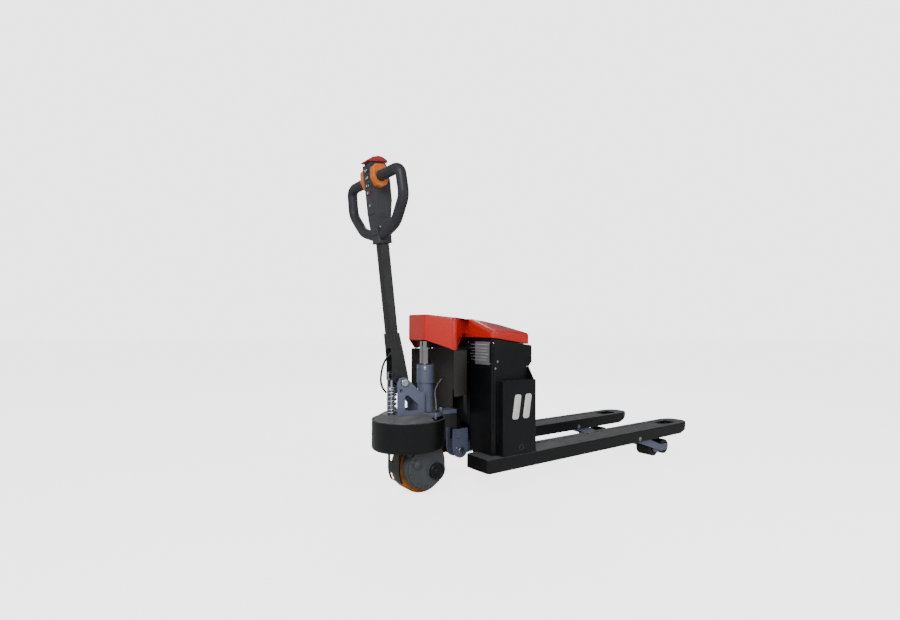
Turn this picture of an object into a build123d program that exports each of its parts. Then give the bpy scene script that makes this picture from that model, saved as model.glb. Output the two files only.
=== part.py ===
"""Electric walkie pallet jack, modelled as separate jointed parts.

Millimetres, +Z up, forks along +X, symmetry plane Y = 0.  Shapes are laid out
from the drive wheel's ground contact and moved by SHIFT_X when written, so the
origin lands at the bottom centre of the whole truck.
"""
from build123d import *
import math
import os

os.makedirs("parts", exist_ok=True)

SHIFT_X = -651.91        # layout frame to file frame
FIT = 0.1              # radial running clearance
GAP = 0.4              # side clearance between moving parts

# --- forks and chassis
FORK_OUT = 275.0       # half of the overall fork width
FORK_IN = 125.0        # half of the gap between the forks
FORK_MID = 200.0       # centre line of one fork
FORK_TOP = 152.0       # fork surface, raised as shown
FORK_LOW = 98.0        # underside of the fork channel
HEEL_TOP = 151.0       # heel, where box and cheeks stand
HEEL_X1 = 410.0        # end of the lowered heel
FORK_SKIN = 7.0        # top plate
FORK_WALL = 6.0        # side walls
HEEL_X = 145.0
TIP_X = 1548.0
BOX_X0 = 201.0         # front wall of the battery box
BOX_X1 = 407.0         # rear wall of the battery box
BOX_Y = 230.0          # half width of the box
BOX_WALL = 4.0
BOX_TOP0 = 612.0       # top edge at the front wall
BOX_TOP1 = 584.0       # top edge at the rear wall
CHEEK_Y = 268.0
CHEEK_TOP = 445.0

# --- steering column
AXIS_X = 31.0          # steering axis and lift cylinder
SHIELD_R = 170.0       # outer radius of the curved front shield
SHIELD_Z0 = 388.0      # its lower edge at the sides and over the link
SHIELD_LOW = 302.0     # its lower edge either side of the link
RING_X = -46.0         # centre of the black drive skirt
RING_R = 144.0
RING_Z0 = 178.0
RING_Z1 = 297.0
CONE_Z = 317.0         # top of the cone on the skirt
WHEEL_R = 105.0
WHEEL_W = 75.0
AXLE_Z = 105.0
GEAR_X = -15.0         # centre of the large gear

# --- lift linkage
PIN_X, PIN_Z = 187.0, 139.0        # link pin on the carrier
ROCK_X, ROCK_Z = 330.0, 153.0      # rocker shaft in the chassis
ROD_Z = 136.5                      # push rod centre line
ARM_X, ARM_Z = 1092.0, 112.5       # load arm pivot
BOGIE_X, BOGIE_Z = 1298.6, 37.0    # bogie pivot
ROLLER_R = 37.0
ROLLER_W = 85.0
ROLLER_DX = 45.0

# --- tiller
LEAN = 6.8                          # degrees, tiller towards the operator
TIL_Z = 439.0                       # height the tiller is measured from
HINGE_X, HINGE_Z = -92.0, 443.0     # tiller hinge pin
LUG_X, LUG_Z = -120.0, 468.0        # bolt that works the spring rod
AX_X = -101.0                       # tiller centre line at the hinge height
TUBE = 40.0
SPRING_X = -121.0                   # return spring centre line
BUTTON_S = (822, 794, 766, 738)     # push buttons, distance up the tiller
WING_S = 792.0                      # thumb wheel centre, distance up the tiller
LOOP_X = -8.0                       # grip loops, across the tiller

LOOP_R = 20.0                       # radius of the grips
HEAD_X = -36.0                      # operator side of the head

PARTS = {}


def add(name, shape):
    """Stores one finished part under its node name."""
    shape.label = name
    PARTS[name] = shape


def box(x0, x1, y0, y1, z0, z1):
    """Returns a box given by its two corners."""
    mid = ((x0 + x1) / 2, (y0 + y1) / 2, (z0 + z1) / 2)
    return Pos(*mid) * Box(x1 - x0, y1 - y0, z1 - z0)


def cyl_z(x, y, r, z0, z1):
    """Returns an upright cylinder."""
    return Pos(x, y, (z0 + z1) / 2) * Cylinder(r, z1 - z0)


def cyl_y(x, z, r, y0, y1):
    """Returns a cylinder along Y."""
    return Pos(x, (y0 + y1) / 2, z) * Rot(90, 0, 0) * Cylinder(r, y1 - y0)


def cyl_x(y, z, r, x0, x1):
    """Returns a cylinder along X."""
    return Pos((x0 + x1) / 2, y, z) * Rot(0, 90, 0) * Cylinder(r, x1 - x0)


def plate_xz(points, y0, y1):
    """Returns a side-view outline given thickness from y0 to y1."""
    face = make_face(Polyline(*[(x, 0, z) for x, z in points], close=True))
    return Pos(0, y0, 0) * extrude(face, amount=y1 - y0, dir=(0, 1, 0))


def plate_xy(points, z0, z1):
    """Returns a plan outline given height from z0 to z1."""
    face = make_face(Polyline(*[(x, y, 0) for x, y in points], close=True))
    return Pos(0, 0, z0) * extrude(face, amount=z1 - z0, dir=(0, 0, 1))


def plate_yz(points, x0, x1):
    """Returns a front-view outline given depth from x0 to x1."""
    face = make_face(Polyline(*[(0, y, z) for y, z in points], close=True))
    return Pos(x0, 0, 0) * extrude(face, amount=x1 - x0, dir=(1, 0, 0))


def tube(points, bend, r):
    """Returns a round rod of radius r along points with rounded bends."""
    line = FilletPolyline(*points, radius=bend)
    disc = Plane(origin=line @ 0, z_dir=line % 0) * Circle(r)
    return sweep(disc, path=line)


def soft(shape, edges, radius):
    """Rounds the given edges, or leaves the shape if they can't be rounded."""
    try:
        return fillet(edges, radius)
    except Exception:
        return shape


def upright(shape, radius):
    """Rounds the vertical edges of a shape."""
    return soft(shape, shape.edges().filter_by(Axis.Z), radius)


def upright_xz(shape, radius):
    """Rounds the edges of a plate that run along Y."""
    return soft(shape, shape.edges().filter_by(Axis.Y), radius)


def link_bar(x0, z0, r0, x1, z1, r1, y0, y1):
    """Returns a bar between two round ends, seen from the side."""
    dx, dz = x1 - x0, z1 - z0
    size = math.hypot(dx, dz)
    nx, nz = -dz / size, dx / size
    pts = [(x0 + nx * r0, z0 + nz * r0), (x1 + nx * r1, z1 + nz * r1),
           (x1 - nx * r1, z1 - nz * r1), (x0 - nx * r0, z0 - nz * r0)]
    bar = plate_xz(pts, y0, y1)
    return bar + cyl_y(x0, z0, r0, y0, y1) + cyl_y(x1, z1, r1, y0, y1)


# ------------------------------------------------------------------ chassis
def fork_plan(inset, x0, tip):
    """Returns the plan outline of a fork centred on Y = 0."""
    half = (FORK_OUT - FORK_IN) / 2 - inset
    return [(x0, -half), (tip - 62, -half), (tip - 20, -half * 0.72), (tip, -half * 0.36),
            (tip, half * 0.36), (tip - 20, half * 0.72), (tip - 62, half), (x0, half)]


def fork(side):
    """Returns one fork: an open-bottomed channel with a rounded nose."""
    body = plate_xy(fork_plan(0, HEEL_X, TIP_X), FORK_LOW, FORK_TOP)
    body = upright(body, 14)
    body = soft(body, body.faces().sort_by(Axis.Z)[-1].edges(), 5)
    nose = [(1446, 90), (1446, FORK_LOW), (1530, 128), (1560, 136), (1560, 90)]
    body -= plate_xz(nose, -90, 90)
    half = (FORK_OUT - FORK_IN) / 2 - FORK_WALL
    body -= box(HEEL_X + 6, 1418, -half, half, FORK_LOW - 1, FORK_TOP - FORK_SKIN)
    body -= box(430, 1452, -46, 46, FORK_TOP - 2.5, FORK_TOP + 1)
    body -= box(HEEL_X - 1, HEEL_X1, -90, 90, HEEL_TOP, FORK_TOP + 1)
    window = box(1352, 1470, -34, 34, FORK_TOP - 20, FORK_TOP + 1)
    body -= upright(window, 16)
    body -= box(285, 372, -half - 20 * (side > 0), half + 20 * (side < 0), 116, FORK_TOP + 1)
    body -= cyl_y(ARM_X, ARM_Z, 10, -90, 90)
    return Pos(0, side * FORK_MID, 0) * body


def fork_pins():
    """Returns the two fixed pins that carry the load arms."""
    pin = cyl_y(ARM_X, ARM_Z, 10, FORK_IN, FORK_OUT)
    return pin + mirror(pin, Plane.XZ)


def base_frame():
    """Returns the welded frame that joins the two forks under the box."""
    body = box(399, 407, -FORK_IN, FORK_IN, FORK_LOW, FORK_TOP)
    for side in (-1, 1):
        rail = box(215, 399, 78, 88, FORK_LOW, FORK_TOP + 22)
        rail -= cyl_y(ROCK_X, ROCK_Z, 13 + FIT, 60, 120)
        front = box(215, 223, 88, FORK_IN, FORK_LOW, FORK_TOP)
        part = rail + front
        body += part if side > 0 else mirror(part, Plane.XZ)
    return body


def battery_box():
    """Returns the tall sheet-metal box with its link opening at the front."""
    outer = [(BOX_X0, HEEL_TOP), (391, HEEL_TOP), (391, 499), (BOX_X1, 515),
             (BOX_X1, BOX_TOP1), (BOX_X0, BOX_TOP0)]
    body = plate_xz(outer, -BOX_Y, BOX_Y)
    corners = body.edges().filter_by(Axis.Z).group_by(Axis.X)[0]
    body = soft(body, corners, 16)
    w = BOX_WALL
    inner = [(BOX_X0 + w, 234), (391 - w, 234), (391 - w, 500), (BOX_X1 - w, 517),
             (BOX_X1 - w, 640), (BOX_X0 + w, 640)]
    body -= plate_xz(inner, -BOX_Y + w, BOX_Y - w)
    body -= box(BOX_X0 + w, 391 - w, -BOX_Y + w, BOX_Y - w, 100, 230)
    body -= box(BOX_X0 - 1, 262, -75, 75, 100, 388)
    body -= box(380, 400, -FORK_IN, FORK_IN, 100, 174)
    return body


def cheek(side):
    """Returns one side cheek with its rear gusset."""
    body = box(225, 400, BOX_Y, CHEEK_Y, HEEL_TOP, CHEEK_TOP)
    body = soft(body, body.edges().filter_by(Axis.Z).group_by(Axis.Y)[-1], 8)
    body -= box(229, 396, BOX_Y - 1, CHEEK_Y - 4, FORK_TOP - 1, CHEEK_TOP - 4)
    gusset = plate_yz([(BOX_Y, CHEEK_TOP), (CHEEK_Y - 2, CHEEK_TOP), (BOX_Y, 498)], 384, 389)
    body += gusset
    body += cyl_y(316, 176, 10, CHEEK_Y - 4, CHEEK_Y + 1)
    return body if side > 0 else mirror(body, Plane.XZ)


def front_shield():
    """Returns the concave curved shield round the steering column."""
    ring = cyl_z(AXIS_X, 0, SHIELD_R, SHIELD_LOW, 566)
    ring -= cyl_z(AXIS_X, 0, SHIELD_R - 4, SHIELD_LOW - 1, 573)
    upper = ring & box(AXIS_X + 29, BOX_X0, -180, 180, SHIELD_Z0, 700)
    lower = ring & box(AXIS_X + 122, BOX_X0, -180, 180, 0, SHIELD_Z0)
    lower -= box(100, BOX_X0, -42, 42, 0, SHIELD_Z0)
    body = upper + lower
    for y in (-44, 40):
        body += box(194, BOX_X0, y, y + 4, SHIELD_Z0, 566)
    return body


def nose_block(t):
    """Returns the cover's nose, with its walls moved inwards by t."""
    pts = [(-13 + t, -63 + t * 0.4), (-13 + t, 63 - t * 0.4), (62 + t * 0.4, 152 - t),
           (80 - t, 152 - t), (187 - t, 46 - t), (230, 46 - t), (230, -46 + t),
           (187 - t, -46 + t), (80 - t, -152 + t), (62 + t * 0.4, -152 + t)]
    body = plate_xy(pts, 567, 730)
    if t == 0:
        body = soft(body, body.edges().filter_by(Axis.Z).group_by(Axis.X)[0], 16)
        lobes = [e for e in body.edges().filter_by(Axis.Z) if abs(e.center().Y) > 140]
        body = soft(body, lobes, 8)
    top = [(-300, 560), (-300, 675 - t), (-63, 709 - t), (63, 709 - t), (300, 675 - t),
           (300, 560)]
    body &= plate_yz(top, -60, 240)
    slope = [(-60, 560), (-60, 720 - t), (60, 712 - t), (240, 686 - t), (240, 560)]
    return body & plate_xz(slope, -200, 200)


def hood_block(t, lift):
    """Returns the pitched hood over the box, inset by t and raised by lift."""
    sections = []
    for x, low, side, ridge in ((203 + t, 617, 643, 697), (402 - t, 589, 635, 664)):
        half = 226 - t
        eave = side - t + lift
        top = ridge - t + lift
        pts = [(x, -half, low), (x, -half, eave), (x, -62, top), (x, 62, top),
               (x, half, eave), (x, half, low)]
        sections.append(Face(Wire(Polyline(*pts, close=True).edges())))
    return loft(sections, ruled=True)


def top_cover():
    """Returns the red cover: hood, nose and the notches between them."""
    hood = hood_block(0, 0)
    hood = soft(hood, [e for e in hood.edges().filter_by(Axis.Z)], 16)
    bridge = box(150, 215, -92, 92, 630, 664)
    body = hood + nose_block(0)
    inner = hood_block(4, 0) + nose_block(4)
    drop = Pos(0, 0, -6) * hood_block(4, 0)
    body -= inner
    body -= drop
    body -= Pos(0, 0, -12) * nose_block(4)
    body -= bridge
    body -= box(140, BOX_X0 + 0.5, -96, 96, 560, 616)
    body -= box(BOX_X0 - 0.5, 240, -200, 200, 560, 616)
    under = [(-40, 540), (-40, 613), (30, 598), (66, 567), (84, 567), (112, 630),
             (200.5, 630), (200.5, 540)]
    body -= plate_xz(under, -200, 200)
    return body


def cover_panel():
    """Returns the grey inlay strip that follows the sloping top of the hood."""
    strip = hood_block(0, 2.0) - hood_block(0, 0)
    return strip & box(222, 384, -120, 120, 600, 720)


def data_plate():
    """Returns the blank plate on the front wall."""
    return box(BOX_X0 - 1.2, BOX_X0, -206, -112, 508, 600)


def lift_head():
    """Returns the bracket that hands the rod's lift to the box."""
    body = box(-4, BOX_X0, -40, 40, 601, 611)
    body += box(20, BOX_X0, -40, -32, 575, 601)
    body += box(20, BOX_X0, 32, 40, 575, 601)
    body -= cyl_z(AXIS_X, 0, 12, 590, 620)
    return body


def piston_rod():
    """Returns the chrome rod that stands on the oil in the cylinder."""
    return cyl_z(AXIS_X, 0, 24, 386, 601) + cyl_z(AXIS_X, 0, 12, 601, 611)


def power_pack():
    """Adds what sits hidden inside the box."""
    add("battery", upright(box(268, 384, -140, 215, 236, 520), 6))
    pump = upright(box(268, 384, -215, -150, 236, 380), 6)
    pump += cyl_z(326, -183, 31, 380, 470) + cyl_z(326, -183, 26, 470, 500)
    add("pump_unit", pump)
    add("controller", box(214, 250, -205, -95, 400, 480) + box(205, 214, -190, -110, 410, 470))


# ------------------------------------------------------------------ carrier
def carrier_collar():
    """Returns the steering collar with the arm that reaches back to the box."""
    body = cyl_z(AXIS_X, 0, 70, 299, 314)
    body += box(AXIS_X, 166, -29, 29, 299, 314)
    body -= cyl_z(AXIS_X, 0, 32 + FIT, 290, 320)
    body += cyl_z(93, -20, 7, 314, 322)
    return body


def carrier_link():
    """Returns the two clevis plates that hold the link pin."""
    body = upright_xz(box(152, 225, 19, 29, 141, 230), 6)
    body += cyl_y(PIN_X + 2, PIN_Z + 2, 34, 19, 29)
    body += mirror(body, Plane.XZ)
    body -= cyl_y(PIN_X, PIN_Z, 10, -40, 40)
    return body


def carrier_arm():
    """Returns the black arm that hangs the link plates from the collar."""
    body = box(166, 186, -29, 29, 230, 314)
    body += box(166, 180, -19, 19, 186, 230)
    return body


def carrier_pin():
    """Returns the link pin with its round heads."""
    body = cyl_y(PIN_X, PIN_Z, 10, -34, 34)
    body += cyl_y(PIN_X, PIN_Z, 14, 29, 35) + cyl_y(PIN_X, PIN_Z, 14, -35, -29)
    return body


# -------------------------------------------------------------------- drive
def drive_skirt():
    """Returns the black round skirt that hides the drive unit."""
    body = cyl_z(RING_X, 0, RING_R, RING_Z0, RING_Z1)
    body = soft(body, body.edges().group_by(Axis.Z)[0], 14)
    body = soft(body, body.edges().group_by(Axis.Z)[-1], 3)
    body -= cyl_z(RING_X, 0, RING_R - 6, RING_Z0 - 1, RING_Z1 - 8)
    body -= cyl_z(AXIS_X, 0, 30, 280, 300)
    body -= cyl_z(SPRING_X, 0, 8, 280, 300)
    return body


def pedestal():
    """Returns the shallow cone on the skirt, under the tiller bracket and spring."""
    body = Pos(RING_X, 0, (RING_Z1 + CONE_Z) / 2) * Cone(138, 104, CONE_Z - RING_Z1)
    body &= box(-200, -8, -150, 150, RING_Z1, CONE_Z)
    body -= cyl_z(AXIS_X, 0, 72, 290, 340)
    body -= cyl_z(SPRING_X, 0, 8, 290, 340)
    return body


def drive_motor():
    """Returns the drive motor under the skirt, with its gear neck."""
    body = cyl_z(AXIS_X, 0, 56, 226, RING_Z1 - 8)
    body += box(-90, 48, -94, -46, 212, RING_Z1 - 8)
    body -= cyl_z(AXIS_X, 0, 30, 280, 300)
    return body


def gearbox():
    """Returns the gear case beside the wheel, with the axle on it."""
    body = cyl_y(GEAR_X, 112, 84, -86, -46) + cyl_y(22, 96, 48, -86, -46)
    body += box(-84, 56, -86, -46, 130, 212)
    body = body & box(-200, 200, -90, -40, 30, 212)
    body += cyl_y(0, AXLE_Z, 20, -46, 50)
    return body


def gearbox_cover():
    """Returns the outer cover plate of the gear case."""
    body = cyl_y(GEAR_X, 112, 81, -95, -86) + cyl_y(22, 96, 46, -95, -86)
    body = soft(body, body.faces().sort_by(Axis.Y)[0].edges(), 2)
    body += cyl_y(GEAR_X - 46, 132, 16, -99, -95)
    for angle in (70, 112, 154, 196, 238, 268):
        a = math.radians(angle)
        body += cyl_y(GEAR_X + 73 * math.cos(a), 112 + 73 * math.sin(a), 5, -100, -95)
    return body


def gearbox_cap():
    """Returns the round black cap on the gear cover."""
    body = cyl_y(22, 96, 31, -108, -95)
    return soft(body, body.edges().group_by(Axis.Y)[0], 3)


def wheel_hub():
    """Returns the wheel hub that turns on the axle."""
    body = cyl_y(0, AXLE_Z, 66, -WHEEL_W / 2, WHEEL_W / 2)
    body -= cyl_y(0, AXLE_Z, 20 + FIT, -60, 60)
    body -= cyl_y(0, AXLE_Z, 54, 20, 60) - cyl_y(0, AXLE_Z, 32, 0, 80)
    return body


def wheel_tyre():
    """Returns the orange tyre bonded on the hub."""
    body = cyl_y(0, AXLE_Z, WHEEL_R, -WHEEL_W / 2, WHEEL_W / 2)
    rims = [e for e in body.edges().filter_by(GeomType.CIRCLE)]
    body = soft(body, rims, 5)
    return body - cyl_y(0, AXLE_Z, 66, -60, 60)


def wheel_guard():
    """Returns the curved guard in front of the wheel, hung from the skirt."""
    ring = cyl_y(0, AXLE_Z, 113, -46, 46) - cyl_y(0, AXLE_Z, 108.5, -50, 50)
    body = ring & box(-120, -60, -46, 46, 52, AXLE_Z)
    body += box(-113, -108.5, -46, 46, AXLE_Z, RING_Z1 - 8)
    for z in (70, 144):
        body -= box(-120, -90, -8, 34, z - 14, z + 14)
    return body


def lift_cylinder():
    """Returns the cylinder barrel on the steering axis, with its gland."""
    body = cyl_z(AXIS_X, 0, 36, 433, 507)
    body = soft(body, body.edges().group_by(Axis.Z)[-1], 3)
    body += cyl_z(AXIS_X, 0, 30, 280, 300) + cyl_z(AXIS_X, 0, 32, 300, 433)
    body -= cyl_z(AXIS_X, 0, 24.5, 314, 510)
    return body


def bracket_plate():
    """Returns one plate of the tiller bracket, centred on Y = 0."""
    side = [(-118, CONE_Z), (-118, 444), (-110, 459), (-92, 464), (-76, 456), (-21, 401),
            (0, 401), (0, CONE_Z)]
    body = plate_xz(side, -5, 5)
    window = [(-88, 330), (-88, 392), (-72, 392), (-28, 352), (-28, 330)]
    body -= plate_xz(window, -9, 9)
    body -= cyl_y(-105, 412, 7, -9, 9)
    return body - cyl_y(HINGE_X, HINGE_Z, 10, -9, 9)


def tiller_bracket():
    """Returns the grey bracket on the cylinder that carries the tiller."""
    body = Pos(0, 42, 0) * bracket_plate() + Pos(0, -42, 0) * bracket_plate()
    body += box(-14, 0, -37, 37, CONE_Z, 400)
    foot = box(-118, -14, -47, 47, CONE_Z, CONE_Z + 6) - cyl_z(SPRING_X, 0, 26, 300, 340)
    return body + foot - cyl_z(AXIS_X, 0, 32, 300, 440)


def pivot_pin():
    """Returns the tiller hinge pin."""
    body = cyl_y(HINGE_X, HINGE_Z, 10, -47, 47)
    for y in (-52, 47):
        body += cyl_y(HINGE_X, HINGE_Z, 15, y, y + 5)
    return body


# ------------------------------------------------------------------- tiller
def along(s, dx=0.0):
    """Returns (x, z) at distance s up the tiller, dx across it to the rear."""
    a = math.radians(LEAN)
    x = AX_X - s * math.sin(a) + dx * math.cos(a)
    return x, TIL_Z + s * math.cos(a) + dx * math.sin(a)


def on_tiller(shape):
    """Moves a shape drawn upright at the origin onto the leaning tiller."""
    return Pos(AX_X, 0, TIL_Z) * Rot(0, -LEAN, 0) * shape


def tiller_tube():
    """Returns the square tiller tube."""
    body = box(-TUBE / 2, TUBE / 2, -TUBE / 2, TUBE / 2, 150, 545)
    body = soft(body, body.edges().filter_by(Axis.Z), 6)
    return on_tiller(body)


def tiller_yoke():
    """Returns the two yoke plates and the bridge under the tube."""
    side = [along(150, -20), along(196, -20), along(196, 20), (-81, 540), (-62, 455),
            (-72, 436), (-92, 426), (-112, 440), (-132, 456), (-132, 520)]
    plate = plate_xz(side, 20, 27) - cyl_y(HINGE_X, HINGE_Z, 10 + FIT, 0, 60)
    plate -= cyl_y(LUG_X, LUG_Z, 5, 0, 60)
    body = plate + mirror(plate, Plane.XZ)
    body += on_tiller(box(-20, 20, -20, 20, 140, 150))
    body += cyl_y(LUG_X, LUG_Z, 5, -27, 27)
    return body + cyl_y(LUG_X, LUG_Z, 8, -32, -27) + cyl_y(LUG_X, LUG_Z, 8, 27, 32)


def head_body():
    """Returns the tiller head with recesses for its controls."""
    side = [(-28, 575), (-34, 640), (HEAD_X, 846), (34, 846), (42, 800), (42, 700),
            (32, 640), (29, 575)]
    body = plate_xz(side, -31, 31)
    body = soft(body, body.edges().filter_by(Axis.Y), 6)
    body += box(-30, 30, -24.5, 24.5, 846, 856)
    body -= box(HEAD_X - 3, HEAD_X + 5, -28, 28, 656, 838)
    body -= box(-16, 16, -15, 15, 835, 860)
    body += upright(box(-29, 29, -30, 30, 545, 575), 8)
    return on_tiller(body)


def control_panel():
    """Returns the flat control strip let into the operator's side."""
    body = box(HEAD_X - 0.6, HEAD_X + 5, -28, 28, 656, 838)
    for z in BUTTON_S:
        body -= box(HEAD_X - 9, HEAD_X + 3.5, -17, 17, z - 8, z + 8)
    return on_tiller(body)


def panel_button(index):
    """Returns one push button of the control strip."""
    z = BUTTON_S[index]
    body = box(HEAD_X - 2.5, HEAD_X + 1.5, -16.6, 16.6, z - 7.6, z + 7.6)
    return on_tiller(body)


def belly_button():
    """Returns the red safety button that crowns the head."""
    side = [(-42, 852), (-42, 857), (-14, 871), (6, 875), (24, 872), (40, 862), (42, 852)]
    cap = plate_xz(side, -31, 31)
    cap = soft(cap, cap.faces().sort_by(Axis.Y)[0].edges().filter_by(Axis.X, reverse=True), 1)
    cap -= box(-35, 35, -26, 26, 851, 862)
    stem = box(-15.6, 15.6, -14.6, 14.6, 842, 864)
    return on_tiller(cap + stem)


def thumb_wheel(side):
    """Returns one butterfly thumb wheel, which turns on the root of a grip loop."""
    shape = [(-31, -4), (-28, 34), (-14, 46), (18, 46), (36, 30), (36, 2), (24, -30),
             (0, -42), (-18, -34)]
    body = plate_xz([(LOOP_X + x, WING_S + z) for x, z in shape], 31.4, 60)
    body = soft(body, body.edges().filter_by(Axis.Y), 8)
    body = soft(body, body.faces().sort_by(Axis.Y)[-1].edges(), 5)
    body -= cyl_y(LOOP_X, WING_S, LOOP_R + FIT, 0, 100)
    body = on_tiller(body)
    return body if side > 0 else mirror(body, Plane.XZ)


def rear_trim():
    """Returns the orange trim strip on the back of the head."""
    body = box(42, 50, -20, 20, 704, 792)
    return on_tiller(upright(body, 5))


def head_loop(side):
    """Returns one round grip loop of the head."""
    pts = [(LOOP_X, 31, WING_S), (LOOP_X, 204, 792), (LOOP_X, 214, 690),
           (LOOP_X, 136, 606), (LOOP_X, 31, 576)]
    body = tube(pts, 46, LOOP_R)
    body = body - box(-80, 80, -60, 31, 500, 900)
    body = on_tiller(body)
    return body if side > 0 else mirror(body, Plane.XZ)


# ------------------------------------------------------------ return spring
def spring_rod():
    """Returns the guide rod with its slotted head."""
    body = cyl_z(SPRING_X, 0, 6, 296, 452)
    head = box(SPRING_X - 20, SPRING_X + 9, -9, 9, 452, 484)
    head -= box(SPRING_X - 18, SPRING_X + 7, -20, 20, LUG_Z - 6.6, LUG_Z + 6.6)
    return body + head + cyl_z(SPRING_X, 0, 19, 420, 426)


def return_spring():
    """Returns the coil spring that stands the tiller up."""
    turns, wire = 6, 3.2
    low, high, mean = CONE_Z + wire, 420.0 - wire, 16.0
    helix = Helix(pitch=(high - low) / turns, height=high - low, radius=mean)
    disc = Plane(origin=helix @ 0, z_dir=helix % 0) * Circle(wire)
    coil = sweep(disc, path=helix, is_frenet=True)
    return Pos(SPRING_X, 0, low) * coil


# -------------------------------------------------------------- lift linkage
def rocker_arm():
    """Returns the rocker shaft, its slotted arm and the two cranks."""
    body = cyl_y(ROCK_X, ROCK_Z, 13, -224, 224)
    arm = link_bar(ROCK_X, ROCK_Z, 22, 222, 141, 20, -15, 15)
    fingers = link_bar(222, 141, 20, PIN_X - 4, PIN_Z, 20, -15, 15)
    arm += fingers
    slot = box(PIN_X - 40, PIN_X + 20, -20, 20, PIN_Z - 13.6, PIN_Z + 13.6)
    arm -= slot + cyl_y(PIN_X + 20, PIN_Z, 13.6, -20, 20)
    body += arm
    for side in (-1, 1):
        y = side * FORK_MID
        crank = link_bar(ROCK_X, ROCK_Z, 20, ROCK_X, ROD_Z - 4, 14, y - 5, y + 5)
        body += crank
        body -= cyl_y(ROCK_X, ROD_Z, 8, y - 20, y + 20) - cyl_y(ROCK_X, ROCK_Z, 13, -300, 300)
    return body


def push_rods():
    """Returns the two push rods, which always move together."""
    return push_rod(-1) + push_rod(1)


def push_rod(side):
    """Returns one long push rod with a forked end at each crank."""
    y = side * FORK_MID
    body = box(356, 1062, y - 10, y + 10, ROD_Z - 7, ROD_Z + 7)
    for x0, x1, x in ((ROCK_X - 9, 356, ROCK_X), (1062, ARM_X + 9, ARM_X)):
        for k in (-1, 1):
            c = y + k * 8.5
            body += box(x0, x1, c - 2.5, c + 2.5, ROD_Z - 7, ROD_Z + 7)
        if x == ARM_X:
            body += cyl_y(x, ROD_Z, 3.5, y - 6, y + 6)
    body -= box(ROCK_X - 30, ROCK_X + 25, y - 30, y + 30, ROCK_Z - 14.5, ROCK_Z)
    body += cyl_y(ROCK_X, ROD_Z - 1, 2.4, y - 6.5, y + 6.5)
    return body - box(ROCK_X - 30, ROCK_X + 25, y - 30, y + 30, ROCK_Z - 14, ROCK_Z)


def load_arm(side):
    """Returns one load arm with its cross tube, crank and two side bars."""
    y = side * FORK_MID
    body = cyl_y(ARM_X, ARM_Z, 17, y - 59, y + 59)
    for k in (-1, 1):
        c = y + k * 55.5
        body += link_bar(ARM_X, ARM_Z, 20, BOGIE_X, BOGIE_Z, 15, c - 3, c + 3)
    body += link_bar(ARM_X, ARM_Z, 17, ARM_X, ROD_Z, 8.2, y - 5, y + 5)
    body -= cyl_y(ARM_X, ROD_Z, 5.6, y - 20, y + 20)
    body -= cyl_y(ARM_X, ARM_Z, 10 + FIT, y - 70, y + 70)
    body -= cyl_y(BOGIE_X, BOGIE_Z, 8, y - 70, y + 70)
    return body


def bogie(side):
    """Returns one bogie: two bars, a pivot pin and the roller axles."""
    y = side * FORK_MID
    body = cyl_y(BOGIE_X, BOGIE_Z, 8 - FIT, y - 58, y + 58)
    for k in (-1, 1):
        c = y + k * 48
        x0, x1 = BOGIE_X - ROLLER_DX, BOGIE_X + ROLLER_DX
        body += link_bar(x0, BOGIE_Z, 17, x1, BOGIE_Z, 17, c - 3, c + 3)
    body -= box(BOGIE_X - 20, BOGIE_X + 20, y - 44, y + 44, 0, 80)
    for dx in (-ROLLER_DX, ROLLER_DX):
        body += cyl_y(BOGIE_X + dx, BOGIE_Z, 8, y - 51, y + 51)
    return body


def load_roller(side, dx):
    """Returns one load roller."""
    y = side * FORK_MID
    x = BOGIE_X + dx
    body = cyl_y(x, BOGIE_Z, ROLLER_R, y - ROLLER_W / 2, y + ROLLER_W / 2)
    body = soft(body, body.edges().filter_by(GeomType.CIRCLE), 4)
    for k in (-1, 1):
        y0 = y + k * (ROLLER_W / 2 - 4)
        body -= cyl_y(x, BOGIE_Z, 24, min(y0, y0 + k * 9), max(y0, y0 + k * 9))
    return body - cyl_y(x, BOGIE_Z, 8 + FIT, y - 60, y + 60)


def cables():
    """Adds the loose cables of the column and the box."""
    pts = [(-118, 0, 562), (-148, 8, 536), (-157, 27, 470), (-152, 28, 420), (-131, 28, 400)]
    add("tiller_cable", tube(pts, 14, 4))
    pts = [(96, 20, 314), (96, 20, 340), (100, 40, 380), (126, 62, 415), (162, 80, 432)]
    add("white_cable", tube(pts, 16, 2.5))


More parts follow.
